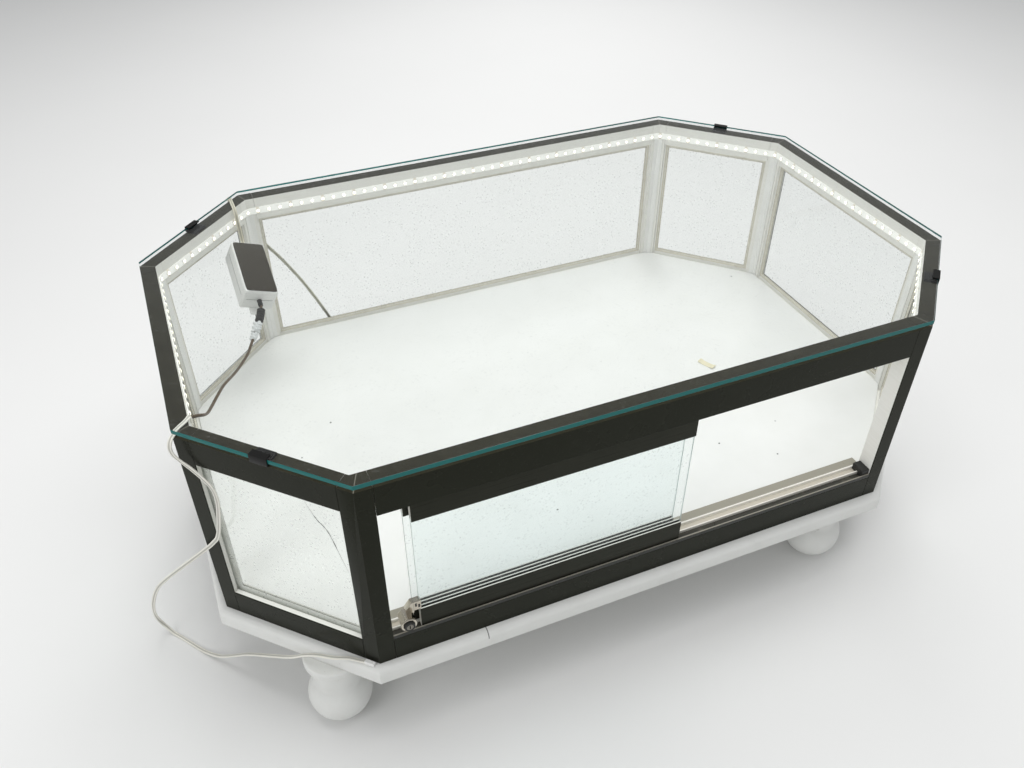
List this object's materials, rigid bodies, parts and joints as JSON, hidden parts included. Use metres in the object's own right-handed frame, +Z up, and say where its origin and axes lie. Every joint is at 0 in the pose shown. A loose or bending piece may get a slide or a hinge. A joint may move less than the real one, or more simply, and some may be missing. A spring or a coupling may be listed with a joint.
{
  "type": "display_case",
  "caption": "Low lighted display case with chamfered corners, glass on all sides, sliding front doors with a push lock, and a painted plinth on ball feet.",
  "frame": {"origin": "Middle of the case's outline on the floor, under the feet.", "axes": "+X along the front to the right, +Y from the front to the back, +Z up."},
  "size_m": [1.1513, 0.7833, 0.4471],
  "materials": {
    "dark_frame": "gloss",
    "bright_metal": "satin",
    "white_paint": "painted",
    "white_laminate": "satin",
    "clear_glass": "polished",
    "black_clip": "satin",
    "black_plastic": "satin",
    "strip_white": "satin",
    "driver_white": "satin",
    "white_lead": "satin",
    "brown_lead": "satin"
  },
  "bodies": {
    "root": {"plinth_board": "white_paint", "foot_front_left": "white_paint", "foot_front_right": "white_paint", "foot_back_left": "white_paint", "foot_back_right": "white_paint", "deck_panel": "white_laminate", "post_front_left": "dark_frame", "post_front_right": "dark_frame", "post_right_front": "dark_frame", "post_right_back": "dark_frame", "post_back_right": "dark_frame", "post_back_left": "dark_frame", "post_left_back": "dark_frame", "post_left_front": "dark_frame", "top_rail_front": "dark_frame", "top_rail_front_right": "dark_frame", "top_rail_right": "dark_frame", "top_rail_back_right": "dark_frame", "top_rail_back": "dark_frame", "top_rail_back_left": "dark_frame", "top_rail_left": "dark_frame", "top_rail_front_left": "dark_frame", "bottom_rail_front": "dark_frame", "bottom_rail_front_right": "dark_frame", "bottom_rail_right": "dark_frame", "bottom_rail_back_right": "dark_frame", "bottom_rail_back": "dark_frame", "bottom_rail_back_left": "dark_frame", "bottom_rail_left": "dark_frame", "bottom_rail_front_left": "dark_frame", "pane_front_right": "clear_glass", "pane_right": "clear_glass", "pane_back_right": "clear_glass", "pane_back": "clear_glass", "pane_back_left": "clear_glass", "pane_left": "clear_glass", "pane_front_left": "clear_glass", "top_glass": "clear_glass", "glass_clip_front_right": "black_clip", "glass_clip_back_right": "black_clip", "glass_clip_back_left": "black_clip", "glass_clip_front_left": "black_clip", "lower_track": "bright_metal", "track_stop_right": "black_plastic", "led_strip": "strip_white", "driver_case": "driver_white", "mains_lead": "white_lead", "mains_coil": "white_lead", "mains_plug": "white_lead", "strip_lead": "white_lead", "driver_lead": "brown_lead"},
    "outer_door": {"outer_door_glass": "clear_glass", "outer_door_bottom_rail": "dark_frame", "outer_door_top_rail": "dark_frame", "lock_body": "bright_metal"},
    "inner_door": {"inner_door_glass": "clear_glass", "inner_door_bottom_rail": "dark_frame", "inner_door_top_rail": "dark_frame"},
    "lock_plunger": {"lock_plunger": "black_plastic"},
    "lock_key_plug": {"lock_key_plug": "bright_metal"}
  },
  "joints": [
    {"name": "outer_door_slide", "type": "slide", "parent": "root", "child": "outer_door", "axis": [1, 0, 0], "range_m": [-0.009, 0.292]},
    {"name": "inner_door_slide", "type": "slide", "parent": "root", "child": "inner_door", "axis": [1, 0, 0], "range_m": [-0.029, 0.298]},
    {"name": "lock_push", "type": "slide", "parent": "outer_door", "child": "lock_plunger", "axis": [0, 1, 0], "range_m": [0, 0.005]},
    {"name": "lock_key_turn", "type": "hinge", "parent": "lock_plunger", "child": "lock_key_plug", "pos_m": [-0.3263, -0.342, 0.2099], "axis": [0, 1, 0], "range_deg": [0, 90]}
  ]
}
